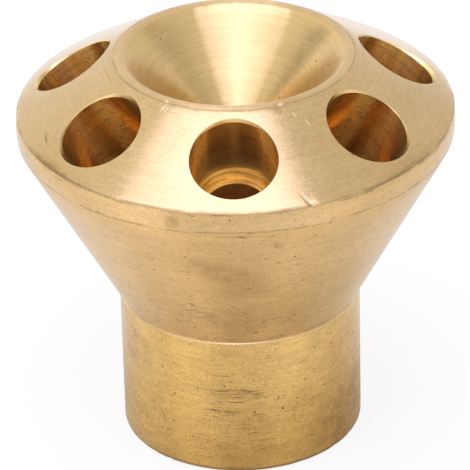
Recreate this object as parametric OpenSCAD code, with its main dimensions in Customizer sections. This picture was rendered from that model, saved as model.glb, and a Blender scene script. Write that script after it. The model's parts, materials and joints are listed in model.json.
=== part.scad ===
// Refrigerant distributor: a brass body turned in one piece and drilled with a ring of tilted,
// stepped sockets. The inlet tube is brazed into the neck. The flow leaves the chamber behind it
// through the ports, into the feeder tubes that are brazed into the sockets.
// Millimetres, Z up, origin at the centre of the neck's lower face, first socket towards -Y.

/* [Body] */
// Diameter of the rim, the widest part
rim_d = 41; // [40:0.5:44]
// Height of the straight band round the rim
band_h = 2; // [1.5:0.1:3]
// Height of the cone between the neck and the band
cone_h = 17; // [16:0.5:20]
// Height of the straight neck
neck_h = 14.3; // [13.3:0.1:18]
// Thickness of the neck's wall round the inlet socket
neck_wall = 1.9; // [1.5:0.1:2.5]
// Tilt of the upper bevel from level, in degrees
bevel_tilt = 31; // [28:0.5:33]
// Outer diameter of the flat lip on top
lip_d = 22.4; // [21.5:0.1:23.5]
// Width of the lip, between the bevel and the recess
lip_w = 0.95; // [0.7:0.05:1.8]
// Angle across the conical recess on top, in degrees
recess_angle = 90; // [84:1:100]

/* [Feeder sockets] */
// Number of sockets round the bevel
socket_count = 7; // [4:1:7]
// Outside diameter of a feeder tube
feeder_tube_d = 7.94; // [6:0.01:8.2]
// Depth of a socket from the middle of its mouth to the step that stops the tube
socket_depth = 8.8; // [7:0.1:9.5]
// Width of that step
tube_stop_w = 0.2; // [0.15:0.05:0.5]
// Depth of the narrower pilot bore below the step
pilot_depth = 1.2; // [0.8:0.1:2]
// Diameter of the port from the pilot bore's floor to the chamber
port_d = 6.4; // [4:0.1:6.6]
// Distance of the ring of sockets inside the middle of the bevel
ring_inset = 0.25; // [0:0.05:0.6]
// Depth of the 45 degree countersink at the middle of a mouth
countersink = 0.2; // [0.1:0.05:0.6]

/* [Inlet] */
// Outside diameter of the inlet tube
inlet_tube_d = 19.05; // [18:0.05:20]
// Depth of the inlet socket in the neck
inlet_depth = 12.5; // [10:0.5:13]
// Width of the shoulder that stops the inlet tube
inlet_stop_w = 1.5; // [1:0.1:2]
// Angle across the drill point that ends the chamber, in degrees
drill_angle = 118; // [112:1:130]
// Thickness of metal between the points of the chamber and the recess
crown_wall = 2; // [1.5:0.1:3]

/* [Fits and edges] */
// Difference in diameter between a socket and the tube brazed into it
braze_gap = 0.06; // [0.04:0.01:0.2]
// Radius on the neck's lower outer edge
neck_round = 0.3; // [0.2:0.05:0.8]
// Width of the break on the rim's upper edge
rim_break = 0.1; // [0.05:0.05:0.5]
// Width of the break on the lip's outer edge
lip_break = 0.25; // [0.05:0.05:0.4]
// Width of the break on the lip's inner edge, round the recess
recess_break = 0.1; // [0.05:0.05:0.2]
// Width of the break on the inlet socket's mouth
inlet_break = 0.4; // [0.2:0.05:0.6]

/* [Hidden] */
$fn = 96;
// How far a cutting shape runs past the surface that it opens
overshoot = 1;

// Radii of the turned section
rim_r = rim_d / 2;
lip_r = lip_d / 2;
recess_r = lip_r - lip_w;
inlet_r = (inlet_tube_d + braze_gap) / 2;
neck_r = inlet_r + neck_wall;
chamber_r = inlet_r - inlet_stop_w;

// Heights of the turned section
band_z = neck_h + cone_h;
rim_z = band_z + band_h;
top_z = rim_z + (rim_r - lip_r) * tan(bevel_tilt);
recess_z = top_z - recess_r / tan(recess_angle / 2);
chamber_tip_z = recess_z - crown_wall;
chamber_z = chamber_tip_z - chamber_r / tan(drill_angle / 2);

// Sockets: each axis is square to the bevel and crosses it at ring_r, mouth_z
socket_r = (feeder_tube_d + braze_gap) / 2;
pilot_r = socket_r - tube_stop_w;
port_r = port_d / 2;
ring_r = (rim_r + lip_r) / 2 - ring_inset;
mouth_z = rim_z + (rim_r - ring_r) * tan(bevel_tilt);
floor_depth = socket_depth + pilot_depth;
// A port ends where the whole of its end lies clear inside the chamber's wall
port_clearance = 0.3;
port_end_r = chamber_r - port_r * cos(bevel_tilt) - port_clearance;
port_end_depth = (ring_r - port_end_r) / sin(bevel_tilt);

// Half of the body's section, from the inlet's mouth round the outside to the chamber
module body_section() {
  polygon([
    [inlet_r + inlet_break, 0],
    [neck_r, 0],
    [neck_r, neck_h],
    [rim_r, band_z],
    [rim_r, rim_z - rim_break],
    [rim_r - rim_break * cos(bevel_tilt), rim_z + rim_break * sin(bevel_tilt)],
    [lip_r + lip_break * cos(bevel_tilt), top_z - lip_break * sin(bevel_tilt)],
    [lip_r - lip_break, top_z],
    [recess_r + recess_break, top_z],
    [recess_r - recess_break * sin(recess_angle / 2), top_z - recess_break * cos(recess_angle / 2)],
    [0, recess_z],
    [0, chamber_tip_z],
    [chamber_r, chamber_z],
    [chamber_r, inlet_depth],
    [inlet_r, inlet_depth],
    [inlet_r, inlet_break]
  ]);
}

// What the radius takes off the section's corner at the neck's lower edge
module neck_corner() {
  translate([neck_r - neck_round, 0]) {
    difference() {
      translate([0, -overshoot])
        square([neck_round + overshoot, neck_round + overshoot]);
      translate([0, neck_round])
        circle(r = neck_round);
      translate([-overshoot, -overshoot])
        square([overshoot, neck_round + overshoot]);
    }
  }
}

// The space of one socket with its countersink, tube stop, pilot bore and port. The middle of the
// mouth is at the origin and +Z points out of it.
module socket_space() {
  rotate_extrude()
    polygon([
      [0, -port_end_depth],
      [port_r, -port_end_depth],
      [port_r, -floor_depth],
      [pilot_r, -floor_depth],
      [pilot_r, -socket_depth],
      [socket_r, -socket_depth],
      [socket_r, -countersink],
      [socket_r + countersink + overshoot, overshoot],
      [0, overshoot]
    ]);
}

// The whole part: the turned body less the ring of sockets
module distributor_body() {
  color("#d9b676")
    difference() {
      rotate_extrude()
        difference() {
          body_section();
          neck_corner();
        }
      for (i = [0 : socket_count - 1])
        rotate([0, 0, i * 360 / socket_count - 90])
          translate([ring_r, 0, mouth_z])
            rotate([0, bevel_tilt, 0])
              socket_space();
    }
}

distributor_body();
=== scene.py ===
import json
import math

import bmesh
import bpy
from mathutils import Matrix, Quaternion, Vector


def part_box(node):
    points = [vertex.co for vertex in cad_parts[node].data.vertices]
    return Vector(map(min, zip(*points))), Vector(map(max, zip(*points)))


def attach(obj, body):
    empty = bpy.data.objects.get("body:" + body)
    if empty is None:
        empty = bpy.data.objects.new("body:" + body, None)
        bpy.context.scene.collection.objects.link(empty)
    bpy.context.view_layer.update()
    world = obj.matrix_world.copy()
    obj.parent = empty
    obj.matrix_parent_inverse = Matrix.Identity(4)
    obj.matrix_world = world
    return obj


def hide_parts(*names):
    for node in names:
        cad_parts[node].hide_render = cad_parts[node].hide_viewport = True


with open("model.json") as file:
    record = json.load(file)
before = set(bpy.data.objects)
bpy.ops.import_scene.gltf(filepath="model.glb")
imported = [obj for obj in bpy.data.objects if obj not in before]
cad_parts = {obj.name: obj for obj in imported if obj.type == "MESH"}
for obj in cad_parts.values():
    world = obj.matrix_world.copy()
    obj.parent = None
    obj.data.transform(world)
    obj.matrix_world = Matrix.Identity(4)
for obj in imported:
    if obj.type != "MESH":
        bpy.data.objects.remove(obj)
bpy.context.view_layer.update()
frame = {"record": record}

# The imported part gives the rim, the top, the inlet bore and the seven feeder sockets.
MM = 0.001
MICRON = 0.000001
_, body_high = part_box("distributor_body")
mounts = {mount["name"]: mount for mount in frame["record"]["mounts"]}
feeder_mounts = [mounts[name] for name in sorted(mounts) if name.startswith("feeder_socket")]

# Sizes of the turned body, in metres
rim_r = body_high.x
top_z = body_high.z
band_h = 2 * MM
cone_h = 17 * MM
neck_h = 14.3 * MM
neck_wall = 1.9 * MM
bevel_tilt = math.radians(31)
lip_r = 11.2 * MM
lip_w = 0.95 * MM
crown_wall = 2 * MM
inlet_r = mounts["inlet_socket"]["dims"]["r_mm"] * MM
inlet_depth = 12.5 * MM
inlet_stop_w = 1.5 * MM
drill_half_angle = math.radians(118 / 2)

# Edge breaks of the turned body
neck_round = 0.3 * MM
inlet_break = 0.4 * MM
rim_break = 0.1 * MM
band_break = 0.06 * MM
lip_break = 0.25 * MM
recess_break = 0.1 * MM
parting_ledge = 0.10 * MM

# Worked out from the sizes above
band_z = neck_h + cone_h
rim_z = band_z + band_h
neck_r = inlet_r + neck_wall
recess_r = lip_r - lip_w
recess_z = top_z - recess_r
chamber_r = inlet_r - inlet_stop_w
chamber_tip_z = recess_z - crown_wall
chamber_z = chamber_tip_z - chamber_r / math.tan(drill_half_angle)

# Sizes of one feeder socket, measured down its own axis from the bevel
socket_r = feeder_mounts[0]["dims"]["r_mm"] * MM
socket_depth = 8.8 * MM
socket_countersink = 0.2 * MM
mouth_lead = 0.34 * MM
mouth_break = 0.08 * MM
tube_stop_w = 0.2 * MM
pilot_r = socket_r - tube_stop_w
pilot_depth = 1.2 * MM
port_r = 3.2 * MM
ring_inset = 0.25 * MM
ring_r = (rim_r + lip_r) / 2 - ring_inset
port_clearance = 0.3 * MM
port_end_r = chamber_r - port_r * math.cos(bevel_tilt) - port_clearance
port_depth = (ring_r - port_end_r) / math.sin(bevel_tilt)
cutter_rise = 1.2 * MM
socket_mouth_gap = feeder_mounts[0]["dims"]["length_mm"] * MM / 2 + socket_countersink

# How finely the shapes are turned, joined and smoothed
BODY_STEPS = 448
SOCKET_STEPS = 112
MERGE_GAP = 0.1 * MICRON
SMOOTH_ANGLE = math.radians(22)

# The finishes, in the order of the body's material slots
FINISHES = [
    "bevel_face", "recess_face", "rim_band", "cone_side", "neck_side",
    "socket_bore", "socket_mouth", "port_bore", "inlet_bore", "lip_face",
]
BEVEL, RECESS, BAND, CONE, NECK, SOCKET, MOUTH, PORT, INLET, LIP = range(len(FINISHES))


# Camera

PHOTO_PIXELS = 470
SENSOR_W = 36.0
camera_target = Vector((0, 0, 18 * MM))
camera_distance = 381.9 * MM
camera_azimuth = math.radians(0.96)
camera_elevation = math.radians(30.127)
camera_roll = math.radians(-1.489)
pixels_per_metre = 10507.0
target_pixel = (238.91, 247.53)
camera_near = 0.01
camera_far = 50.0


def place_camera():
    """The photograph's view: a long lens, thirty degrees above the table."""
    data = bpy.data.cameras.new("photo_camera")
    camera = bpy.data.objects.new("photo_camera", data)
    bpy.context.scene.collection.objects.link(camera)
    level = math.cos(camera_elevation)
    back = Vector((
        math.sin(camera_azimuth) * level,
        -math.cos(camera_azimuth) * level,
        math.sin(camera_elevation),
    ))
    camera.location = camera_target + back * camera_distance
    camera.rotation_mode = "QUATERNION"
    camera.rotation_quaternion = (-back).to_track_quat("-Z", "Y") @ Quaternion((0, 0, 1), camera_roll)
    data.sensor_width = SENSOR_W
    data.lens = pixels_per_metre * camera_distance / PHOTO_PIXELS * SENSOR_W
    data.shift_x = (PHOTO_PIXELS / 2 - target_pixel[0]) / PHOTO_PIXELS
    data.shift_y = (target_pixel[1] - PHOTO_PIXELS / 2) / PHOTO_PIXELS
    data.clip_start = camera_near
    data.clip_end = camera_far
    bpy.context.scene.camera = camera


# Node helpers

class Graph:
    """Short calls for wiring shader nodes: an argument is a socket or a plain value."""

    def __init__(self, tree):
        self.tree = tree

    def add(self, kind, **settings):
        made = self.tree.nodes.new(kind)
        for name, value in settings.items():
            setattr(made, name, value)
        return made

    def put(self, value, socket):
        if isinstance(value, bpy.types.NodeSocket):
            self.tree.links.new(value, socket)
        else:
            socket.default_value = value

    def feed(self, node, **values):
        """Fills a node's inputs by name, with _ for a space."""
        for name, value in values.items():
            self.put(value, node.inputs[name.replace("_", " ")])
        return node

    def fill(self, kind, *values, **settings):
        """Adds a node, fills its inputs in their order and gives its first output."""
        made = self.add(kind, **settings)
        for socket, value in zip(made.inputs, values):
            self.put(value, socket)
        return made.outputs[0]

    def math(self, operation, *values):
        return self.fill("ShaderNodeMath", *values, operation=operation)

    def chain(self, operation, first, *others):
        """One operation over several values in turn."""
        for other in others:
            first = self.math(operation, first, other)
        return first

    def total(self, *values):
        return self.chain("ADD", *values)

    def times(self, *values):
        return self.chain("MULTIPLY", *values)

    def most(self, *values):
        return self.chain("MAXIMUM", *values)

    def minus(self, first, second):
        return self.math("SUBTRACT", first, second)

    def divide(self, first, second):
        return self.math("DIVIDE", first, second)

    def off(self, first, second):
        """How far apart two values are."""
        return self.math("ABSOLUTE", self.minus(first, second))

    def length(self, first, second):
        """The length of a slanting line from its two square parts."""
        return self.math("SQRT", self.total(self.times(first, first), self.times(second, second)))

    def weigh(self, share, first, second):
        """That share of the first value and the rest of the second."""
        return self.total(self.times(first, share), self.times(second, 1 - share))

    def span(self, value, low, high, start=0.0, end=1.0):
        """start below low, end above high, and a smooth change between them."""
        return self.fill(
            "ShaderNodeMapRange", value, low, high, start, end, interpolation_type="SMOOTHSTEP")

    def between(self, share, first, second):
        """first where the share is 0, second where it is 1, and a smooth change between them."""
        return self.span(share, 0.0, 1.0, start=first, end=second)

    def place(self, kind="Object"):
        """Where a point is, in texture coordinates of that kind."""
        return self.add("ShaderNodeTexCoord").outputs[kind]

    def split(self, vector):
        made = self.add("ShaderNodeSeparateXYZ")
        self.put(vector, made.inputs[0])
        return made.outputs

    def vector(self, x, y, z):
        return self.fill("ShaderNodeCombineXYZ", x, y, z)

    def noise(self, vector, scale, detail=2.0, roughness=0.5, seed=0.0):
        made = self.add("ShaderNodeTexNoise", noise_dimensions="4D")
        self.feed(made, Vector=vector, Scale=scale, Detail=detail, Roughness=roughness, W=seed)
        return made.outputs["Fac"]

    def blend(self, share, first, second):
        """A colour between two colours."""
        made = self.add("ShaderNodeMix", data_type="RGBA")
        colour_a, colour_b = [socket for socket in made.inputs if socket.type == "RGBA"]
        self.put(share, made.inputs["Factor"])
        self.put(first, colour_a)
        self.put(second, colour_b)
        return next(socket for socket in made.outputs if socket.type == "RGBA")

    def brighten(self, colour, by):
        return self.feed(self.add("ShaderNodeHueSaturation"), Color=colour, Value=by).outputs[0]

    def group(self, tree, **values):
        return self.feed(self.add("ShaderNodeGroup", node_tree=tree), **values)


def make_effect(name, wire, **inputs):
    """A node group with those inputs and first values; wire returns its outputs by name."""
    tree = bpy.data.node_groups.new(name, "ShaderNodeTree")
    graph = Graph(tree)
    for label, value in inputs.items():
        socket = tree.interface.new_socket(
            label.replace("_", " "), in_out="INPUT", socket_type="NodeSocketFloat")
        socket.default_value = value
    outputs = wire(graph, graph.add("NodeGroupInput").outputs)
    for label in outputs:
        tree.interface.new_socket(label, in_out="OUTPUT", socket_type="NodeSocketFloat")
    ends = graph.add("NodeGroupOutput").inputs
    for label, value in outputs.items():
        graph.put(value, ends[label])
    return tree


def turn_map(graph, around, along):
    """The turning map as a place in a texture: a ring of that size, rising along the cut."""
    turns, rise, _ = graph.split(graph.add("ShaderNodeUVMap", uv_map="turning").outputs[0])
    angle = graph.times(turns, math.tau)
    return graph.vector(
        graph.times(graph.math("COSINE", angle), around),
        graph.times(graph.math("SINE", angle), around),
        graph.divide(rise, along),
    )


def split_object_place(graph):
    """Radius, height and azimuth (0 in front, growing to the right) of a point of the body."""
    x, y, z = graph.split(graph.place())
    return graph.length(x, y), z, graph.math("ARCTAN2", x, graph.times(y, -1.0))


# Effects that several finishes share

def wire_turning_marks(graph, given):
    """Fine rings that the cutting tool leaves round the axis of a turned or drilled face."""
    fine_share = 0.6
    fine_place = turn_map(graph, given["Streaks Round"], given["Ring Pitch"])
    fine = graph.noise(fine_place, 1.0, roughness=0.6, seed=given["Seed"])
    wide_pitch = graph.times(given["Ring Pitch"], 4.0)
    broad_place = turn_map(graph, given["Streaks Round"], wide_pitch)
    broad = graph.noise(broad_place, 1.0, detail=1.0, seed=given["Seed"])
    both = graph.weigh(fine_share, fine, broad)
    return {"Height": both, "Streak": graph.span(both, 0.3, 0.7)}


# Strips down each bore, rougher where the drill rubbed and painted brighter as a glow of reflected light:
# degrees round the bore from its upper wall, and how much
RUBBED_AND_GLOW_STRIPS = [
    (0, 0.4), (9, 0.1), (33, 0.1), (45, 1.1), (59, 1.2), (69, 0.0),
    (75, 0.0), (88, 0.8), (98, 0.7), (118, 0.35), (180, 0.35),
]


def wire_bore_strips(graph, given):
    """Strips down the wall of a bore that the drill rubbed rough and that are painted with a glow of
    reflected light, and the flakes it tore in them.
    """
    _, downwards, _ = graph.split(turn_map(graph, 1.0, 20 * MM))
    from_top = graph.divide(graph.math("ARCCOSINE", graph.times(downwards, -1.0)), math.pi)
    cloud = graph.noise(turn_map(graph, 2.0, 3 * MM), 1.0, detail=3.0, roughness=0.6, seed=given["Seed"])
    uneven = graph.times(graph.minus(cloud, 0.5), given["Ragged"])
    ramp = graph.add("ShaderNodeValToRGB")
    stops = ramp.color_ramp.elements
    stops.remove(stops[1])
    for number, (degrees, level) in enumerate(RUBBED_AND_GLOW_STRIPS):
        stop = stops.new(degrees / 180) if number else stops[0]
        stop.color = (level, level, level, 1)
    graph.put(graph.total(from_top, uneven), ramp.inputs[0])
    dashes = graph.noise(turn_map(graph, 5.0, 0.20 * MM), 1.0, seed=given["Seed"])
    rubbed_hard = graph.span(ramp.outputs[0], 0.7, 1.1)
    return {"Mask": ramp.outputs[0], "Flakes": graph.times(graph.span(dashes, 0.53, 0.63), rubbed_hard)}


def wire_grain(graph, given):
    """The fine mottling of bare brass that has been handled and stored."""
    fine_share = 0.8
    fine_scale = graph.divide(1.0, given["Size"])
    coarse_scale = graph.divide(0.25, given["Size"])
    fine = graph.noise(graph.place(), fine_scale, detail=3.0, roughness=0.7, seed=given["Seed"])
    coarse = graph.noise(graph.place(), coarse_scale, roughness=0.6, seed=given["Seed"])
    return {"Value": graph.span(graph.weigh(fine_share, fine, coarse), 0.28, 0.72)}


def wire_tarnish(graph, given):
    """Soft brown-grey clouds of old fingerprints and oxide."""
    scale = graph.divide(1.0, given["Size"])
    cloud = graph.noise(graph.place(), scale, detail=6.0, roughness=0.66, seed=given["Seed"])
    return {"Mask": graph.span(cloud, given["Start"], given["Full"])}


def wire_pits(graph, given):
    """Small uneven dark pits, a share of the cells of a fine cell pattern."""
    place = graph.place()

    # The cells are bent, so that the pits are neither round nor in rows
    wobble = graph.add("ShaderNodeTexNoise", noise_dimensions="3D")
    graph.feed(wobble, Vector=place, Scale=graph.divide(2.5, given["Spacing"]))
    reach = graph.times(given["Spacing"], 0.8)
    reaches = graph.vector(reach, reach, reach)
    bent = graph.fill(
        "ShaderNodeVectorMath", wobble.outputs["Color"], reaches, place, operation="MULTIPLY_ADD")
    cells = graph.add("ShaderNodeTexVoronoi", voronoi_dimensions="4D", feature="F1")
    graph.feed(cells, Vector=bent, Scale=graph.divide(1.0, given["Spacing"]), W=given["Seed"])

    # Each cell's colour draws whether it has a pit, how wide it is and how dark
    draw = graph.add("ShaderNodeSeparateColor")
    graph.put(cells.outputs["Color"], draw.inputs[0])
    pit_draw, size_draw, dark_draw = draw.outputs
    chosen = graph.math("LESS_THAN", pit_draw, given["Share"])
    size = graph.total(graph.math("POWER", size_draw, 1.8), 0.34)
    width = graph.times(given["Width"], size)
    core = graph.times(width, 0.35)
    dot = graph.span(cells.outputs["Distance"], core, width, start=1.0, end=0.0)
    darkness = graph.span(dark_draw, 0.2, 1.0, start=0.15, end=1.0)
    return {"Mask": graph.times(dot, chosen, darkness)}


def wire_hair_scratches(graph, given):
    """Short dark hair lines that run round the axis."""
    place = turn_map(graph, given["Lines Round"], given["Pitch"])
    lines = graph.noise(place, 1.0, detail=1.0, seed=given["Seed"])
    full = graph.total(given["Start"], 0.05)
    return {"Mask": graph.span(lines, given["Start"], full)}


def wire_ring_line(graph, given):
    """A thin broken line that follows one turned edge all round."""
    breaks_per_metre = 300.0
    radius, height, _ = split_object_place(graph)
    far = graph.length(graph.minus(radius, given["Radius"]), graph.minus(height, given["Height"]))
    core = graph.times(given["Width"], 0.3)
    line = graph.span(far, core, given["Width"], start=1.0, end=0.0)
    broken = graph.noise(
        graph.place(), breaks_per_metre, detail=4.0, roughness=0.65, seed=given["Seed"])
    kept = graph.span(broken, given["Break"], graph.total(given["Break"], 0.2))
    return {"Mask": graph.times(line, kept)}


def wire_mark_patch(graph, given):
    """One soft oval patch at an azimuth and slant (in degrees) and a height, to place marks with."""
    radius, height, azimuth = split_object_place(graph)
    turn = graph.minus(azimuth, graph.math("RADIANS", given["Azimuth"]))
    along = graph.times(graph.math("WRAP", turn, -math.pi, math.pi), radius)
    up = graph.minus(height, given["Height"])
    lean = graph.math("RADIANS", given["Slant"])
    cos = graph.math("COSINE", lean)
    sin = graph.math("SINE", lean)
    down_mark = graph.total(graph.times(along, cos), graph.times(up, sin))
    across_mark = graph.minus(graph.times(up, cos), graph.times(along, sin))
    lengths_off = graph.divide(down_mark, given["Half Length"])
    widths_off = graph.divide(across_mark, given["Half Width"])
    patch = graph.span(graph.length(lengths_off, widths_off), 0.35, 1.0, start=1.0, end=0.0)
    return {"Mask": graph.times(patch, given["Amount"])}


# Finishes

EFFECTS = {
    "marks": make_effect(
        "turning marks", wire_turning_marks, Ring_Pitch=0.12 * MM, Streaks_Round=3.0, Seed=0.0),
    "grain": make_effect("brass grain", wire_grain, Size=0.2 * MM, Seed=0.0),
    "tarnish": make_effect("tarnish clouds", wire_tarnish, Size=6 * MM, Start=0.45, Full=0.75, Seed=0.0),
    "pits": make_effect("pits", wire_pits, Spacing=0.6 * MM, Width=0.3, Share=0.3, Seed=0.0),
    "scratches": make_effect(
        "hair scratches", wire_hair_scratches, Pitch=0.2 * MM, Lines_Round=5.0, Start=0.68, Seed=0.0),
    "strips": make_effect("bore strips", wire_bore_strips, Ragged=0.09, Seed=0.0),
    "line": make_effect(
        "ring line", wire_ring_line, Radius=20 * MM, Height=30 * MM, Width=0.2 * MM, Break=0.45, Seed=0.0),
    "patch": make_effect(
        "mark patch", wire_mark_patch, Azimuth=0.0, Height=0.0, Half_Length=3 * MM, Half_Width=MM,
        Slant=0.0, Amount=1.0),
}

# Brown of tarnish and stains; in some stained marks on the cone and neck it is painted shade.
STAIN_AND_SHADE_COLOUR = (0.42, 0.22, 0.05, 1)
PIT_COLOUR = (0.11, 0.055, 0.025, 1)
BARE_COLOUR = (0.92, 0.74, 0.48, 1)
# Painted highlight: the bright colour of the bore strips, standing for light reflected down the bore.
BORE_GLOW_COLOUR = (1.0, 0.66, 0.22, 1)

# Sizes of the patterns that the finishes share
DRIFT_SIZE = 9 * MM
CLOUD_SIZE = 3.5 * MM
CLUSTER_SIZE = 2.4 * MM
MOTTLE_SIZE = 1.2 * MM
GRAIN_SIZE = 0.2 * MM
PIT_SPACING = 0.36 * MM
PIT_WIDTH = 0.42
SCRATCH_PITCH = 0.08 * MM
TICK_PITCH = 0.11 * MM
TICKS_ROUND = 24.0

# How far marks darken the brass, how much rougher they make it, and how high they stand in microns
SCRATCH_DARKNESS = 0.8
TICK_DARKNESS = 0.7
DARKEST = 0.8
FLAKE_SHADE = 0.6
STAIN_AND_SHADE_ROUGHNESS = 0.12
DARK_ROUGHNESS = 0.2
GRAIN_ROUGHNESS = 0.03
GRAIN_HEIGHT = 1.2
DARK_HEIGHT = -8.0
FLAKE_HEIGHT = 6.0

# The thin film on handled brass
COAT_ROUGHNESS = 0.25

# A quarter turn from the rings, the way in which they spread a reflection
ACROSS_RINGS = 0.25

# What each finish is like: its colours, roughness, tool rings and wear. Spread is how far the rings
# spread a reflection. The lower scratch_start and tick_start are, the more hair lines and ticks there are.
# Strips is how much rougher the strips are that the drill rubbed. The pitch of the rings is in millimetres
# and their depth in microns.
FINISH_LOOKS = {
    "bevel_face": dict(
        tint=(0.66, 0.452, 0.208, 1), deep=(0.61, 0.405, 0.175, 1), rough=0.21, spread=0.5, coat=0.5,
        ring_pitch=0.11, rings_round=4.0, ring_depth=1.6, streak=0.04, grain=0.10, stain=0.06,
        pit_share=0.02, scratch_start=0.80, lines_round=4.5),
    "recess_face": dict(
        tint=(0.73, 0.51, 0.225, 1), deep=(0.69, 0.47, 0.195, 1), rough=0.23, spread=0.95, coat=0.2,
        ring_pitch=0.13, rings_round=1.2, ring_depth=1.7, streak=0.06, grain=0.06, stain=0.05,
        pit_share=0.03, scratch_start=0.75, lines_round=1.3),
    "rim_band": dict(
        tint=(0.75, 0.50, 0.22, 1), deep=(0.69, 0.445, 0.18, 1), rough=0.30, spread=0.6, coat=0.5,
        ring_pitch=0.12, rings_round=4.0, ring_depth=2, streak=0.05, grain=0.11, stain=0.12,
        pit_share=0.30, scratch_start=0.74, lines_round=4.5, tick_start=0.70),
    "cone_side": dict(
        tint=(0.74, 0.480, 0.180, 1), deep=(0.68, 0.425, 0.147, 1), rough=0.30, spread=0.6, coat=0.42,
        ring_pitch=0.14, rings_round=4.0, ring_depth=2.5, streak=0.06, grain=0.12, stain=0.14,
        pit_share=0.44, scratch_start=0.71, lines_round=8.0, tick_start=0.685),
    "neck_side": dict(
        tint=(0.73, 0.464, 0.153, 1), deep=(0.665, 0.402, 0.118, 1), rough=0.30, spread=0.6, coat=0.4,
        ring_pitch=0.15, rings_round=4.0, ring_depth=2.5, streak=0.09, grain=0.15, stain=0.14,
        pit_share=0.48, scratch_start=0.70, lines_round=5.5, tick_start=0.67),
    "socket_bore": dict(
        tint=(0.98, 0.65, 0.285, 1), deep=(0.95, 0.60, 0.245, 1), rough=0.19, spread=0.95, coat=0.0,
        ring_pitch=0.34, rings_round=1.2, ring_depth=5, streak=0.18, grain=0.06, stain=0.0,
        pit_share=0.01, scratch_start=0.76, lines_round=2.0, strips=0.11),
    "socket_mouth": dict(
        tint=(0.90, 0.66, 0.31, 1), deep=(0.82, 0.57, 0.24, 1), rough=0.28, spread=0.3, coat=0.2,
        ring_pitch=0.20, rings_round=1.2, ring_depth=9, streak=0.38, grain=0.05, stain=0.05,
        pit_share=0.03, scratch_start=0.78, lines_round=2.0),
    "port_bore": dict(
        tint=(0.97, 0.62, 0.27, 1), deep=(0.93, 0.57, 0.23, 1), rough=0.52, spread=0.5, coat=0.0,
        ring_pitch=0.30, rings_round=1.5, ring_depth=4, streak=0.12, grain=0.08, stain=0.0,
        pit_share=0.02, scratch_start=0.76, lines_round=2.0),
    "inlet_bore": dict(
        tint=(0.70, 0.455, 0.18, 1), deep=(0.62, 0.385, 0.135, 1), rough=0.33, spread=0.85, coat=0.2,
        ring_pitch=0.16, rings_round=2.0, ring_depth=3, streak=0.10, grain=0.10, stain=0.15,
        pit_share=0.05, scratch_start=0.75, lines_round=2.0),
    "lip_face": dict(
        tint=(0.76, 0.522, 0.242, 1), deep=(0.71, 0.475, 0.208, 1), rough=0.37, spread=0.95, coat=0.5,
        ring_pitch=0.11, rings_round=4.0, ring_depth=1.6, streak=0.06, grain=0.10, stain=0.06,
        pit_share=0.02, scratch_start=0.80, lines_round=4.5),
}

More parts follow.
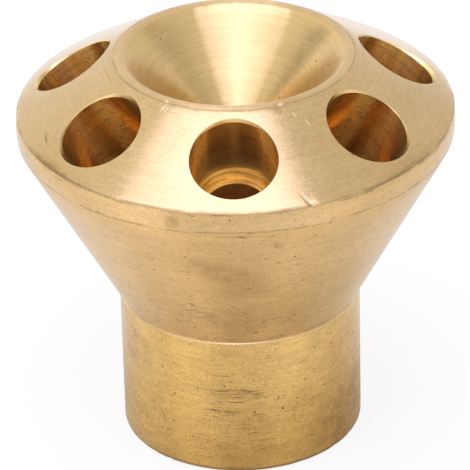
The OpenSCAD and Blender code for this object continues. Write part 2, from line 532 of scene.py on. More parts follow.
# Marks by finish: kind, azimuth in degrees, height, half length and half width in millimetres,
# slant in degrees, amount
MARKS = {
    "bevel_face": [
        ("cut", -66.5, 34.3, 0.9, 0.09, -12, 0.6),
        ("bare", 19.7, 33.55, 0.9, 0.1, -50, 0.9),
        ("cut", 18.6, 33.6, 0.8, 0.08, -50, 0.6),
        ("bare", -32.4, 38.55, 0.35, 0.12, 50, 0.8),
        ("bare", -30.6, 38.55, 0.35, 0.1, 50, 0.7),
        ("bare", 30.1, 37.6, 0.35, 0.1, -60, 0.8),
        ("bare", 26.4, 38.2, 0.3, 0.12, -60, 0.7),
        ("stained_and_shaded", 21.4, 38.7, 1, 0.5, 0, 0.4),
        ("stained_and_shaded", 53, 33.6, 5, 0.4, 0, 0.35),
        ("cut", 47, 33.32, 5.5, 0.1, 0, 0.45),
        ("cut", -50, 33.36, 8.5, 0.09, 0, 0.4),
        ("stained_and_shaded", -52, 33.5, 6, 0.4, 0, 0.3),
    ],
    "recess_face": [
        ("cut", 107.5, 36.6, 0.14, 0.12, 0, 0.9),
        ("cut", 114, 33.1, 0.14, 0.12, 0, 0.9),
        ("scratched", 200, 37, 3.5, 0.35, 0, 0.25),
    ],
    "rim_band": [
        ("stained_and_shaded", -16, 32.2, 1, 1, 0, 0.6),
        ("speckled", 12, 32.2, 4, 0.9, 0, 0.25),
        ("speckled", 38, 32, 6, 0.9, 0, 0.2),
    ],
    "cone_side": [
        ("cut", -17.2, 20, 0.75, 0.09, -25, 0.6),
        ("cut", -17.1, 20.1, 0.25, 0.15, -8, 1),
        ("cut", 4, 22.8, 0.32, 0.12, 0, 0.9),
        ("cut", -1.5, 20, 1, 0.06, -47, 0.7),
        ("cut", 2.6, 19.05, 0.8, 0.06, -32, 0.7),
        ("cut", 7.4, 15.85, 0.28, 0.14, 0, 1),
        ("cut", 19.4, 14.85, 0.24, 0.12, -7, 0.9),
        ("cut", 3.6, 18.25, 0.16, 0.09, -22, 0.8),
        ("cut", 3, 17.4, 0.12, 0.09, 0, 0.9),
        ("cut", -15.3, 15.1, 0.2, 0.1, -38, 0.8),
        ("cut", 24, 16.6, 0.25, 0.09, -20, 0.7),
        ("cut", 11.1, 28.9, 0.6, 0.12, -52, 0.5),
        ("cut", 1.8, 30.7, 0.65, 0.13, -24, 0.6),
        ("cut", -10.7, 21.1, 0.6, 0.07, 25, 0.5),
        # Partly stain, partly painted shade: these three stained marks darken the front of the cone, where
        # it mirrors the darker table in front.
        ("stained_and_shaded", -4, 25.2, 6.5, 1.8, -24, 0.5),
        ("stained_and_shaded", 2, 22.5, 4, 1.6, 0, 0.4),
        ("stained_and_shaded", 6, 18, 6, 3, 0, 0.2),
        ("speckled", 2, 17.6, 9, 3.2, 0, 0.3),
        ("stained_and_shaded", 11.4, 29.2, 1.2, 0.5, -40, 0.5),
        ("stained_and_shaded", -0.5, 30.8, 2.4, 0.3, 0, 0.6),
        ("scratched", -10, 18.2, 5.5, 3, 0, 0.6),
        ("scratched", 6, 17.6, 6, 2.6, 0, 0.55),
        ("speckled", 12.8, 15.9, 2.6, 0.8, 0, 0.5),
        ("speckled", 11.6, 18.3, 0.9, 0.6, 0, 0.6),
        ("speckled", -43.4, 19.7, 1.6, 1, 0, 0.35),
        ("speckled", 22, 26.5, 4, 2, 0, 0.12),
    ],
    "neck_side": [
        ("cut", 5, 9, 1.25, 0.07, 0, 0.8),
        ("cut", -3.4, 8.65, 2.7, 0.05, 2, 0.7),
        ("cut", -2.9, 8.35, 1.7, 0.05, 2, 0.7),
        ("cut", -11.7, 7.55, 1.4, 0.045, 2, 0.6),
        ("cut", -10.2, 7.8, 0.5, 0.1, -10, 0.7),
        ("cut", -14.2, 6.8, 1.4, 0.055, -5, 0.8),
        ("cut", -3.2, 6.7, 1.35, 0.06, -2, 0.6),
        ("cut", -23.8, 9.25, 1.7, 0.05, 3, 0.5),
        ("cut", -20.9, 8.9, 0.5, 0.07, -74, 0.6),
        ("cut", -40, 4.7, 1.05, 0.07, -67, 0.9),
        ("cut", -42, 6.6, 0.8, 0.06, -65, 0.4),
        ("cut", -41.5, 3.4, 0.25, 0.12, -7, 0.7),
        ("cut", -37.9, 3.45, 0.2, 0.12, 0, 0.9),
        ("cut", -4.7, 10.05, 0.14, 0.1, 0, 0.9),
        ("cut", -37.9, 9.7, 0.15, 0.1, 22, 0.8),
        ("cut", -23.7, 13.75, 0.1, 0.1, 0, 0.9),
        ("cut", 26.1, 6.45, 0.55, 0.06, 18, 0.5),
        ("scratched", -3, 8.5, 4, 1.2, 0, 0.8),
        ("scratched", -9, 6.7, 3.6, 0.6, 0, 0.8),
        ("scratched", 0, 5, 8, 4, 0, 0.35),
        ("stained_and_shaded", -1, 8.7, 4, 0.8, 0, 0.4),
        ("speckled", -22.8, 4.05, 0.9, 0.9, 0, 0.9),
        ("speckled", -58.3, 10, 2, 2.6, 0, 0.3),
        ("speckled", -21.3, 13.7, 1, 0.5, 0, 0.7),
        ("speckled", -12, 6.5, 11, 6, 0, 0.25),
        ("stained_and_shaded", -58.3, 10.5, 3.5, 3, 0, 0.5),
        ("stained_and_shaded", 28, 7, 3, 3, 0, 0.25),
        # Partly stain, partly painted shade: these four stained marks darken the bottom front and the
        # lower right of the neck, where it mirrors the object's shadow on the table.
        ("stained_and_shaded", 2, 2.2, 5, 2.2, 0, 0.4),
        ("stained_and_shaded", 64, 3, 8, 7, 0, 1),
        ("stained_and_shaded", 62, 10, 5, 4, 0, 0.35),
        ("stained_and_shaded", 5, 5.6, 3.5, 2.4, 0, 0.4),
    ],
}

# Dark lines along turned edges, by finish: radius, height, width, how broken, amount
LIP_LINE = (lip_r + 0.05 * MM, top_z - 0.03 * MM, 0.18 * MM, 0.32, 0.35)
EDGE_LINES = {
    "bevel_face": [
        LIP_LINE,
        (lip_r + 0.85 * MM, top_z - 0.51 * MM, 0.09 * MM, 0.46, 0.3),
        (rim_r - 0.12 * MM, rim_z + 0.07 * MM, 0.20 * MM, 0.38, 0.4),
    ],
    "lip_face": [LIP_LINE],
    "rim_band": [
        (rim_r, rim_z - 0.12 * MM, 0.16 * MM, 0.42, 0.55),
        (rim_r, band_z, 0.20 * MM, 0.38, 0.6),
    ],
    "cone_side": [
        (rim_r, band_z, 0.22 * MM, 0.38, 0.6),
        (neck_r, neck_h, 0.9 * MM, 0.42, 0.35),
    ],
    "neck_side": [
        (neck_r, 0.05 * MM, 0.55 * MM, 0.25, 0.75),
    ],
}

# Pale lines along turned edges, in the same order
BARE_LINES = {
    "neck_side": [
        (neck_r - parting_ledge / 2, neck_h - parting_ledge / 2, 0.13 * MM, 0.25, 0.6),
    ],
}


def gather_lines(graph, lines, seed):
    """One mask for all the lines along edges in a list."""
    gathered = 0.0
    for radius, height, width, breaks, amount in lines:
        line = graph.group(
            EFFECTS["line"], Radius=radius, Height=height, Width=width, Break=breaks, Seed=seed)
        gathered = graph.most(graph.times(line.outputs["Mask"], amount), gathered)
    return gathered


def gather_marks(graph, name, kind):
    """One mask for all of a finish's marks of one kind."""
    gathered = 0.0
    for mark_kind, azimuth, height, half_length, half_width, slant, amount in MARKS.get(name, []):
        if mark_kind == kind:
            patch = graph.group(
                EFFECTS["patch"], Azimuth=azimuth, Height=height * MM, Half_Length=half_length * MM,
                Half_Width=half_width * MM, Slant=slant, Amount=amount)
            gathered = graph.most(patch.outputs["Mask"], gathered)
    return gathered


def swing(graph, value, reach):
    """Runs from 1 - reach to 1 + reach as the value runs from 0 to 1."""
    return graph.between(value, 1 - reach, 1 + reach)


def even_colour(graph, look, seed, rings, grain, strips):
    """The colour as cut: a slow drift between two tints, rubbed strips painted with a glow of reflected
    light, tool rings and grain.
    """
    drift = graph.group(EFFECTS["tarnish"], Size=DRIFT_SIZE, Start=0.35, Full=0.7, Seed=seed + 3)
    colour = graph.blend(drift.outputs["Mask"], look["tint"], look["deep"])
    ring_shade = swing(graph, rings.outputs["Streak"], look["streak"])
    grain_shade = swing(graph, grain.outputs["Value"], look["grain"])
    shade = graph.times(ring_shade, grain_shade)
    if strips is not None:
        # Painted highlight: the strips turn bright, as a glow of light reflected down the bore
        colour = graph.blend(strips.outputs["Mask"], colour, BORE_GLOW_COLOUR)
        flake_shade = graph.between(strips.outputs["Flakes"], 1.0, FLAKE_SHADE)
        shade = graph.times(shade, flake_shade)
    return graph.brighten(colour, shade)


def stain_and_shade_mask(graph, name, seed):
    """Tarnish: faint clouds all over, and the stained marks, some of which are also painted shade."""
    clouds = graph.group(EFFECTS["tarnish"], Size=CLOUD_SIZE, Start=0.48, Full=0.8, Seed=seed + 7)
    mottle = graph.group(EFFECTS["tarnish"], Size=MOTTLE_SIZE, Start=0.15, Full=0.75, Seed=seed + 9)
    faint = graph.times(clouds.outputs["Mask"], FINISH_LOOKS[name]["stain"])
    stained_and_shaded = graph.times(gather_marks(graph, name, "stained_and_shaded"), mottle.outputs["Mask"])
    return graph.most(faint, stained_and_shaded)


def dark_mask(graph, name, seed):
    """Pits, hair scratches, short ticks, cuts and dark lines along edges."""
    look = FINISH_LOOKS[name]
    clusters = graph.group(EFFECTS["tarnish"], Size=CLUSTER_SIZE, Start=0.42, Full=0.62, Seed=seed + 5)
    crowded = graph.between(clusters.outputs["Mask"], 0.5, 2.0)
    pit_share = graph.times(graph.total(gather_marks(graph, name, "speckled"), look["pit_share"]), crowded)
    pits = graph.group(EFFECTS["pits"], Spacing=PIT_SPACING, Width=PIT_WIDTH, Share=pit_share, Seed=seed)

    scratched = gather_marks(graph, name, "scratched")
    scratch_start = graph.minus(look["scratch_start"], graph.times(scratched, 0.19))
    scratches = graph.group(
        EFFECTS["scratches"], Pitch=SCRATCH_PITCH, Lines_Round=look["lines_round"],
        Start=scratch_start, Seed=seed + 1)
    scratch_dark = graph.times(scratches.outputs["Mask"], SCRATCH_DARKNESS)
    dark = graph.most(scratch_dark, pits.outputs["Mask"])

    if "tick_start" in look:
        tick_start = graph.between(
            clusters.outputs["Mask"], look["tick_start"] + 0.04, look["tick_start"] - 0.04)
        tick_start = graph.minus(tick_start, graph.times(scratched, 0.05))
        ticks = graph.group(
            EFFECTS["scratches"], Pitch=TICK_PITCH, Lines_Round=TICKS_ROUND,
            Start=tick_start, Seed=seed + 2)
        dark = graph.most(dark, graph.times(ticks.outputs["Mask"], TICK_DARKNESS))

    lines = gather_lines(graph, EDGE_LINES.get(name, []), seed)
    return graph.most(dark, gather_marks(graph, name, "cut"), lines)


def bare_mask(graph, name, seed):
    """Bright bare metal: fresh knocks and the pale lines along edges."""
    lines = gather_lines(graph, BARE_LINES.get(name, []), seed)
    return graph.most(gather_marks(graph, name, "bare"), lines)


def brass_finish(name, seed):
    """Brass as cut: colour drift, grain, turning marks, tarnish, pits, scratches and placed marks, some
    stained marks being also painted shade, and bore strips with a painted glow.
    """
    look = FINISH_LOOKS[name]
    material = bpy.data.materials.new(name)
    material.use_nodes = True
    tree = material.node_tree
    graph = Graph(tree)
    shader = tree.nodes["Principled BSDF"]
    shader.inputs["Metallic"].default_value = 1.0
    shader.inputs["Anisotropic"].default_value = look["spread"]
    shader.inputs["Anisotropic Rotation"].default_value = ACROSS_RINGS
    shader.inputs["Coat Weight"].default_value = look["coat"]
    shader.inputs["Coat Roughness"].default_value = COAT_ROUGHNESS
    tangent = graph.add("ShaderNodeTangent", direction_type="UV_MAP", uv_map="turning")
    graph.put(tangent.outputs[0], shader.inputs["Tangent"])

    rings = graph.group(
        EFFECTS["marks"], Ring_Pitch=look["ring_pitch"] * MM, Streaks_Round=look["rings_round"], Seed=seed)
    grain = graph.group(EFFECTS["grain"], Size=GRAIN_SIZE, Seed=seed)
    strips = graph.group(EFFECTS["strips"], Seed=seed) if "strips" in look else None
    # Tarnish and stains, some of them partly painted shade
    stain = stain_and_shade_mask(graph, name, seed)
    dark = dark_mask(graph, name, seed)

    colour = even_colour(graph, look, seed, rings, grain, strips)
    # Brown of tarnish and stains, which in some marks is painted shade
    colour = graph.blend(stain, colour, STAIN_AND_SHADE_COLOUR)
    colour = graph.blend(graph.times(dark, DARKEST), colour, PIT_COLOUR)
    colour = graph.blend(bare_mask(graph, name, seed), colour, BARE_COLOUR)
    graph.put(colour, shader.inputs["Base Color"])

    rough_parts = [
        graph.times(stain, STAIN_AND_SHADE_ROUGHNESS),
        graph.times(dark, DARK_ROUGHNESS),
        graph.between(grain.outputs["Value"], -GRAIN_ROUGHNESS, GRAIN_ROUGHNESS),
    ]
    height_parts = [
        graph.times(rings.outputs["Height"], look["ring_depth"]),
        graph.times(grain.outputs["Value"], GRAIN_HEIGHT),
        graph.times(dark, DARK_HEIGHT),
    ]
    if strips is not None:
        rough_parts.append(graph.times(strips.outputs["Mask"], look["strips"]))
        height_parts.append(graph.times(strips.outputs["Flakes"], FLAKE_HEIGHT))
    graph.put(graph.total(*rough_parts, look["rough"]), shader.inputs["Roughness"])

    bump = graph.add("ShaderNodeBump")
    graph.feed(bump, Strength=1.0, Distance=MICRON, Height=graph.total(*height_parts))
    graph.put(bump.outputs[0], shader.inputs["Normal"])
    return material


# The turned body

def deselect_all():
    bpy.ops.object.select_all(action="DESELECT")


def select_only(piece):
    deselect_all()
    piece.select_set(True)
    bpy.context.view_layer.objects.active = piece


def draw_section(name, corners):
    """Draws a section in XZ, in edit mode. A corner is its radius, its height and the steps to it."""
    deselect_all()
    bpy.ops.mesh.primitive_plane_add(size=MM, location=(0, 0, 0))
    piece = bpy.context.active_object
    piece.name = name
    piece.data.name = name
    bpy.ops.object.mode_set(mode="EDIT")
    bpy.ops.mesh.select_mode(type="VERT")
    bpy.ops.mesh.select_all(action="SELECT")
    bpy.ops.mesh.merge(type="CENTER")
    bpy.ops.transform.translate(value=(corners[0][0], 0, corners[0][1]))
    for (last_r, last_z, _), (radius, height, steps) in zip(corners, corners[1:]):
        stride = ((radius - last_r) / steps, 0, (height - last_z) / steps)
        for _ in range(steps):
            bpy.ops.mesh.extrude_region_move(TRANSFORM_OT_translate={"value": stride})
    return piece


def round_corner(piece, corner, width, segments):
    """Rounds the section's corner at that point."""
    near = 0.2 * MICRON
    mesh = bmesh.from_edit_mesh(piece.data)
    for vertex in mesh.verts:
        vertex.select_set(math.hypot(vertex.co.x - corner[0], vertex.co.z - corner[1]) < near)
    mesh.select_flush_mode()
    bmesh.update_edit_mesh(piece.data)
    bpy.ops.mesh.bevel(offset=width, segments=segments, affect="VERTICES", clamp_overlap=False)


def spin_section(steps):
    """Turns the drawn section right round Z into a closed shell with its faces outwards."""
    bpy.ops.mesh.select_all(action="SELECT")
    bpy.ops.mesh.spin(steps=steps, angle=math.tau, center=(0, 0, 0), axis=(0, 0, 1))
    bpy.ops.mesh.select_all(action="SELECT")
    bpy.ops.mesh.remove_doubles(threshold=MERGE_GAP)
    bpy.ops.mesh.normals_make_consistent(inside=False)
    bpy.ops.object.mode_set(mode="OBJECT")


def give_slots(piece, finishes):
    piece.data.materials.clear()
    for finish in finishes:
        piece.data.materials.append(finish)


def turn_body(finishes):
    """The whole turned body before its sockets are drilled."""
    corners = [
        (0, chamber_tip_z, 1),
        (chamber_r, chamber_z, 6),
        (chamber_r, inlet_depth, 4),
        (inlet_r, inlet_depth, 2),
        (inlet_r, inlet_break, 6),
        (inlet_r + inlet_break, 0, 1),
        (neck_r, 0, 2),
        (neck_r, neck_h - parting_ledge, 8),
        (neck_r - parting_ledge, neck_h, 1),
        (rim_r, band_z, 10),
        (rim_r, rim_z, 2),
        (lip_r, top_z, 18),
        (recess_r, top_z, 2),
        (0, recess_z, 14),
    ]
    rounded = [
        ((neck_r, 0), neck_round, 5),
        ((rim_r, band_z), band_break, 2),
        ((rim_r, rim_z), rim_break, 3),
        ((lip_r, top_z), lip_break, 4),
        ((recess_r, top_z), recess_break, 3),
    ]
    body = draw_section("turned_body", corners)
    for corner, width, segments in rounded:
        round_corner(body, corner, width, segments)
    spin_section(BODY_STEPS)
    give_slots(body, finishes)
    for face in body.data.polygons:
        face.material_index = finish_of(face.center, face.normal)
    return body


def finish_of(centre, normal):
    """Which finish a face of the turned body has, from its place and the way it faces."""
    radius = math.hypot(centre.x, centre.y)
    outwards = (normal.x * centre.x + normal.y * centre.y) / max(radius, MICRON)
    faces_axis = outwards < -0.05
    faces_down_in_neck = normal.z < -0.9 and radius < neck_r - neck_round
    slopes_up = normal.z > 0.3
    on_lip = normal.z > 0.9 and centre.z > top_z - lip_break
    on_band = normal.z > -0.2 and centre.z > band_z - band_break
    on_cone = normal.z < -0.3 and centre.z > neck_h / 2
    if faces_axis or faces_down_in_neck:
        return RECESS if normal.z > 0.1 else INLET
    if on_lip:
        return LIP
    if slopes_up:
        return BEVEL if centre.z > rim_z - MM else NECK
    if on_band:
        return BAND
    return CONE if on_cone else NECK


def turn_socket_cutter(finishes):
    """The space of one stepped feeder socket, upright, with its mouth at the origin."""
    floor_depth = socket_depth + pilot_depth
    corners = [
        (0, cutter_rise, 1),
        (socket_r + socket_countersink * (1 + cutter_rise / mouth_lead), cutter_rise, 1),
        (socket_r, -mouth_lead, 3),
        (socket_r, -socket_depth, 10),
        (pilot_r, -socket_depth, 1),
        (pilot_r, -floor_depth, 3),
        (port_r, -floor_depth, 2),
        (port_r, -port_depth, 6),
        (0, -port_depth, 1),
    ]
    cutter = draw_section("socket_cutter", corners)
    spin_section(SOCKET_STEPS)
    follow_bevel(cutter)
    give_slots(cutter, finishes)
    wall_facing = 0.95
    for face in cutter.data.polygons:
        is_wall = math.hypot(face.normal.x, face.normal.y) > wall_facing
        wall = PORT if face.center.z < -floor_depth else SOCKET
        face.material_index = wall if is_wall else MOUTH
    return cutter


def follow_bevel(cutter):
    """Lowers the lead-in at the sides of the mouth, so that a fine break runs all round it."""
    bevel_bend = ring_r / math.sin(bevel_tilt)
    for vertex in cutter.data.vertices:
        radius = math.hypot(vertex.co.x, vertex.co.y)
        if vertex.co.z > -mouth_lead - MICRON and radius > socket_r / 2:
            drop = (vertex.co.x * socket_r / radius) ** 2 / (2 * bevel_bend)
            vertex.co.z -= max(0, drop + mouth_break - mouth_lead)


def socket_mouth(mount):
    """Where a socket's axis meets the bevel, and the way the axis points out of it."""
    axis = Vector(mount["axis"]).normalized()
    return Vector(mount["pos_m"]) + axis * socket_mouth_gap, axis


def drill_sockets(body, finishes):
    """Copies the cutter to each feeder socket and cuts it out of the body."""
    master = turn_socket_cutter(finishes)
    for mount in feeder_mounts:
        mouth, axis = socket_mouth(mount)
        cutter = master.copy()
        cutter.data = master.data.copy()
        bpy.context.scene.collection.objects.link(cutter)
        select_only(cutter)
        cutter.location = mouth
        cutter.rotation_mode = "QUATERNION"
        cutter.rotation_quaternion = axis.to_track_quat("Z", "Y")
        bpy.ops.object.transform_apply(location=True, rotation=True, scale=True)
        select_only(body)
        cut = body.modifiers.new("feeder socket", "BOOLEAN")
        cut.operation = "DIFFERENCE"
        cut.solver = "EXACT"
        cut.object = cutter
        bpy.ops.object.modifier_apply(modifier=cut.name)
        bpy.data.objects.remove(cutter)
    bpy.data.objects.remove(master)


# The turning map: U runs round a face's own axis in turns, V along its cut in metres

# Which way each finish is cut in its section: out from the axis, and along it
CUT_WAYS = {
    BEVEL: (-math.cos(bevel_tilt), math.sin(bevel_tilt)),
    RECESS: (0.7071, 0.7071),
    BAND: (0.0, 1.0),
    CONE: (0.47, 0.883),
    NECK: (0.0, 1.0),
    SOCKET: (-1.0, -1.0),
    PORT: (-1.0, -1.0),
    MOUTH: (1.0, -1.0),
    INLET: (-0.6, 1.0),
    LIP: (-1.0, 0.0),
}


def axis_frames():
    """For the body and each socket: its origin, its axis and two directions square to it."""
    frames = [(Vector((0, 0, 0)), Vector((0, 0, 1)), Vector((1, 0, 0)), Vector((0, 1, 0)))]
    for mount in feeder_mounts:
        mouth, axis = socket_mouth(mount)
        side = axis.cross(Vector((0, 0, 1))).normalized()
        frames.append((mouth, axis, side, axis.cross(side)))
    return frames


def lay_turning_map(body):
    """Writes the turning map, with U kept in one piece over each face."""
    mesh = body.data
    layer = mesh.uv_layers.new(name="turning")
    frames = axis_frames()
    for face in mesh.polygons:
        chosen = frames[0]
        if face.material_index in (SOCKET, MOUTH, PORT):
            chosen = min(frames[1:], key=lambda each: (face.center - each[0]).cross(each[1]).length)
        origin, axis, side, other = chosen
        way_r, way_z = CUT_WAYS[face.material_index]
        middle = face.center - origin
        start = math.atan2(middle.dot(other), middle.dot(side))
        for corner in face.loop_indices:
            place = mesh.vertices[mesh.loops[corner].vertex_index].co - origin
            across, beside = place.dot(side), place.dot(other)
            radius = math.hypot(across, beside)
            turn = math.atan2(beside, across) - start if radius > MICRON else 0.0
            turn = (turn + math.pi) % math.tau - math.pi
            along = way_r * radius + way_z * place.dot(axis)
            layer.data[corner].uv = ((start + turn) / math.tau, along)


# Wear of the edges, always inwards

# Knocks on the edges: the edge's radius and height, azimuth in degrees, depth and width in millimetres
NICKS = [
    (lip_r, top_z, -32.4, 0.1, 0.45),
    (lip_r, top_z, -30.6, 0.07, 0.35),
    (lip_r, top_z, 21.4, 0.12, 0.6),
    (lip_r, top_z, 27, 0.07, 0.4),
    (lip_r, top_z, 139, 0.08, 0.5),
    (rim_r, rim_z, 19.7, 0.1, 0.6),
    (rim_r, rim_z, -51, 0.08, 1),
    (rim_r, rim_z, 54, 0.08, 0.8),
    (rim_r, rim_z, 121, 0.09, 0.7),
    (rim_r, rim_z, -147, 0.1, 0.6),
    (rim_r, band_z, 38, 0.08, 0.8),
    (rim_r, band_z, 2.4, 0.07, 0.7),
    (rim_r, band_z, -98, 0.09, 0.7),
    (neck_r, 0, -38, 0.08, 0.6),
    (neck_r, 0, 105, 0.1, 0.7),
]

# Edges that are worn all round: radius and height
WORN_EDGES = [(rim_r, band_z), (rim_r, rim_z), (lip_r, top_z), (recess_r, top_z), (neck_r, 0)]
worn_reach = 0.35 * MM
worn_depth = 0.10 * MM
worn_spot = 1.3 * MM


def wear_edges(body):
    """Makes the turned edges a little uneven, by a cloud pattern that only takes metal away."""
    group = body.vertex_groups.new(name="worn edges")
    near = []
    for vertex in body.data.vertices:
        radius = math.hypot(vertex.co.x, vertex.co.y)
        gap = min(math.hypot(radius - edge[0], vertex.co.z - edge[1]) for edge in WORN_EDGES)
        if gap < worn_reach:
            near.append((vertex.index, 1 - gap / worn_reach))
    for index, weight in near:
        group.add([index], weight, "REPLACE")
    clouds = bpy.data.textures.new("edge wear", "CLOUDS")
    clouds.noise_scale = worn_spot
    clouds.noise_depth = 2
    wear = body.modifiers.new("edge wear", "DISPLACE")
    wear.texture = clouds
    wear.texture_coords = "LOCAL"
    wear.vertex_group = group.name
    wear.mid_level = 1.0
    wear.strength = worn_depth
    bpy.ops.object.modifier_apply(modifier=wear.name)
    body.vertex_groups.clear()


def cut_nick(body, radius, height, azimuth, depth, width):
    """Pushes the edge in towards the body at one place, as a knock would."""
    turn = math.radians(azimuth)
    outwards = Vector((math.sin(turn), -math.cos(turn), 0))
    middle = outwards * radius + Vector((0, 0, height))
    inwards = -outwards if height < band_z + MICRON else -outwards - Vector((0, 0, 1))
    bpy.ops.object.mode_set(mode="EDIT")
    bpy.ops.mesh.select_all(action="DESELECT")
    mesh = bmesh.from_edit_mesh(body.data)
    closest = min(mesh.verts, key=lambda vertex: (vertex.co - middle).length)
    closest.select_set(True)
    mesh.select_flush_mode()
    bmesh.update_edit_mesh(body.data)
    bpy.ops.transform.translate(
        value=inwards.normalized() * depth * MM, use_proportional_edit=True,
        proportional_edit_falloff="SHARP", proportional_size=width * MM)
    bpy.ops.object.mode_set(mode="OBJECT")


def sharpen_socket_edges(body):
    """Keeps the shading of each socket apart from that of the face it is drilled in."""
    bpy.ops.object.mode_set(mode="EDIT")
    bpy.ops.mesh.select_mode(type="EDGE")
    bpy.ops.mesh.select_all(action="DESELECT")
    mesh = bmesh.from_edit_mesh(body.data)
    for edge in mesh.edges:
        sides = {face.material_index for face in edge.link_faces}
        if len(sides) > 1 and sides & {SOCKET, MOUTH, PORT}:
            edge.select_set(True)
    bmesh.update_edit_mesh(body.data)
    bpy.ops.mesh.mark_sharp()
    bpy.ops.object.mode_set(mode="OBJECT")


def make_body():
    finishes = [brass_finish(name, seed) for seed, name in enumerate(FINISHES, start=1)]
    body = turn_body(finishes)
    wear_edges(body)
    for nick in NICKS:
        cut_nick(body, *nick)
    drill_sockets(body, finishes)
    lay_turning_map(body)
    select_only(body)
    bpy.ops.object.shade_smooth_by_angle(angle=SMOOTH_ANGLE)
    sharpen_socket_edges(body)
    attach(body, "root")
    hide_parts("distributor_body")


# Set and light

WHITE = (1, 1, 1, 1)
# Warm light thrown back by the brass onto the table near the neck, painted on the table as the metal sees
# it
WARM_BOUNCE_WHITE = (1.0, 0.93, 0.78, 1)
TABLE_SHADOW_GREY = (0.30, 0.30, 0.30, 1)
TABLE_GREY = (0.8, 0.8, 0.8, 1)
TABLE_SIZE = 6.0

# How bright the table looks, where 1 is white: to the camera, in the metal, the share of that at the neck,
# where a shadow is painted, and the painted light added behind
TABLE_TO_CAMERA = 0.80
TABLE_IN_METAL = 0.72
TABLE_SHADOW_AT_NECK = 0.62
TABLE_BEHIND = 0.2

# Painted pools of light on the table, seen only in the metal: direction, where each starts to fade and
# ends (radians), how much brighter
TABLE_LIGHT_POOLS = [
    (-0.98, 0.1, 0.6, 0.26),
    (0.87, 0.1, 0.5, 0.16),
    (-1.75, 0.1, 0.45, 0.14),
]
pools_meet_y = -8.4 * MM

# Dim side walls in the metal: the height they are seen at, and how far they slant
WALL_HEIGHT = 0.545
WALL_SLANT = 0.08

# Light of the studio on matt surfaces
SOFT_LEVEL = 0.5

# Lamps: name, place, what they face, width, depth, how bright, colour
COOL_WHITE = (0.52, 0.57, 1.0)
SOFTBOXES = [
    ("top_softbox", (-0.04, -0.12, 0.60), (0.04, -0.05, 0.03), 0.63, 0.50, 1.8, COOL_WHITE),
    ("top_centre", (-0.045, -0.10, 0.59), (0.035, -0.03, 0.02), 0.36, 0.40, 0.7, COOL_WHITE),
    ("left_strip", (-0.45, -0.40, 0.16), (0, 0, 0.02), 0.16, 0.30, 1.2, (0.74, 0.77, 1.0)),
    ("right_strip", (0.36, -0.44, 0.14), (0, 0, 0.02), 0.10, 0.26, 0.72, (0.82, 0.84, 1.0)),
]


def table_in_metal(graph, radius):
    """How bright the metal sees the table: a painted shadow dims it at the neck, and painted light
    brightens the pools and the table behind.
    """
    x, y, _ = graph.split(graph.place())
    aside = graph.math("ARCTAN2", x, graph.minus(pools_meet_y, y))
    pools = []
    for direction, fading, gone, level in TABLE_LIGHT_POOLS:
        pools.append(graph.span(graph.off(aside, direction), fading, gone, start=level, end=0.0))
    behind = graph.span(y, 30 * MM, 150 * MM, start=0.0, end=TABLE_BEHIND)
    shadow_near_neck = graph.span(radius, neck_r, neck_r + 16 * MM, start=TABLE_SHADOW_AT_NECK, end=1.0)
    return graph.times(shadow_near_neck, graph.total(*pools, behind, TABLE_IN_METAL))


def make_floor():
    """A white table top, with no glow inside the inlet, where the body shades it. In the metal it is
    dimmer, and painted warm near the neck as light thrown back by the brass.
    """
    deselect_all()
    bpy.ops.mesh.primitive_plane_add(size=TABLE_SIZE, location=(0, 0, 0))
    floor = bpy.context.active_object
    floor.name = "white_table"
    material = bpy.data.materials.new("white_table")
    material.use_nodes = True
    tree = material.node_tree
    graph = Graph(tree)
    tree.nodes.remove(tree.nodes["Principled BSDF"])

    radius, _, _ = split_object_place(graph)
    outside = graph.span(radius, neck_r - 1.5 * MM, neck_r - MM)
    to_camera = graph.times(outside, TABLE_TO_CAMERA)
    in_metal = graph.times(outside, table_in_metal(graph, radius))
    light = graph.add("ShaderNodeLightPath")
    away = graph.span(radius, neck_r + 2 * MM, neck_r + 14 * MM)
    plain_white = graph.most(away, light.outputs["Is Camera Ray"])
    strength = graph.between(light.outputs["Is Camera Ray"], in_metal, to_camera)
    glow = graph.add("ShaderNodeEmission")
    # Painted light in the metal: warm bounce near the neck, pools of light, and a shadow at the neck
    graph.feed(glow, Color=graph.blend(plain_white, WARM_BOUNCE_WHITE, WHITE), Strength=strength)

    shade = graph.add("ShaderNodeBsdfDiffuse")
    shade.inputs["Color"].default_value = TABLE_SHADOW_GREY
    seen = graph.fill("ShaderNodeAddShader", shade.outputs[0], glow.outputs[0])
    plain = graph.add("ShaderNodeBsdfDiffuse")
    plain.inputs["Color"].default_value = TABLE_GREY
    mixed = graph.fill("ShaderNodeMixShader", seen_rays(graph), plain.outputs[0], seen)
    graph.put(mixed, tree.nodes["Material Output"].inputs["Surface"])
    floor.data.materials.append(material)


def seen_rays(graph):
    """1 for what the camera sees, also in metal."""
    light = graph.add("ShaderNodeLightPath")
    rays = ("Is Camera Ray", "Is Glossy Ray", "Is Transmission Ray")
    return graph.most(*[light.outputs[ray] for ray in rays])


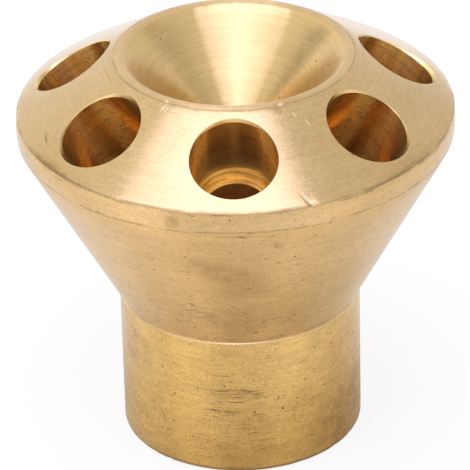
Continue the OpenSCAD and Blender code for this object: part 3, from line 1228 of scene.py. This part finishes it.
def light_world():
    """White all round to the eye. The metal sees dimmer side walls and a brighter left."""
    world = bpy.data.worlds.new("white_studio")
    bpy.context.scene.world = world
    world.use_nodes = True
    tree = world.node_tree
    graph = Graph(tree)
    x, _, z = graph.split(graph.place("Generated"))
    sideways = graph.span(graph.math("ABSOLUTE", x), 0.64, 0.74)
    off_wall = graph.off(graph.minus(z, graph.times(x, WALL_SLANT)), WALL_HEIGHT)
    wall = graph.times(sideways, graph.span(off_wall, 0.05, 0.15, start=1.0, end=0.0))
    wall_level = graph.span(x, -0.6, 0.6, start=0.40, end=0.62)
    side_level = graph.span(x, -0.9, 0.9, start=1.10, end=0.86)
    in_metal = graph.times(side_level, graph.between(wall, 1.0, wall_level))
    light = graph.add("ShaderNodeLightPath")
    white = graph.add("ShaderNodeBackground")
    strength = graph.between(light.outputs["Is Camera Ray"], in_metal, 1.0)
    graph.put(strength, white.inputs["Strength"])
    soft = tree.nodes["Background"]
    soft.inputs["Strength"].default_value = SOFT_LEVEL
    for background in (white, soft):
        background.inputs["Color"].default_value = WHITE
    mixed = graph.fill("ShaderNodeMixShader", seen_rays(graph), soft.outputs[0], white.outputs[0])
    graph.put(mixed, tree.nodes["World Output"].inputs["Surface"])


def add_softbox(name, place, aim, width, depth, level, colour):
    """A soft rectangular lamp; level is how bright its face looks, where 1 is white."""
    data = bpy.data.lights.new(name, "AREA")
    data.shape = "RECTANGLE"
    data.size = width
    data.size_y = depth
    data.energy = level * math.pi * width * depth
    data.color = colour
    lamp = bpy.data.objects.new(name, data)
    bpy.context.scene.collection.objects.link(lamp)
    lamp.location = place
    lamp.rotation_mode = "QUATERNION"
    lamp.rotation_quaternion = (Vector(aim) - Vector(place)).to_track_quat("-Z", "Y")
    lamp.visible_camera = False


def add_lamps():
    """Two cool softboxes overhead, and two upright strips in front that line the neck."""
    for softbox in SOFTBOXES:
        add_softbox(*softbox)


place_camera()
bpy.context.scene.view_settings.view_transform = "Standard"
light_world()
make_floor()
add_lamps()
make_body()
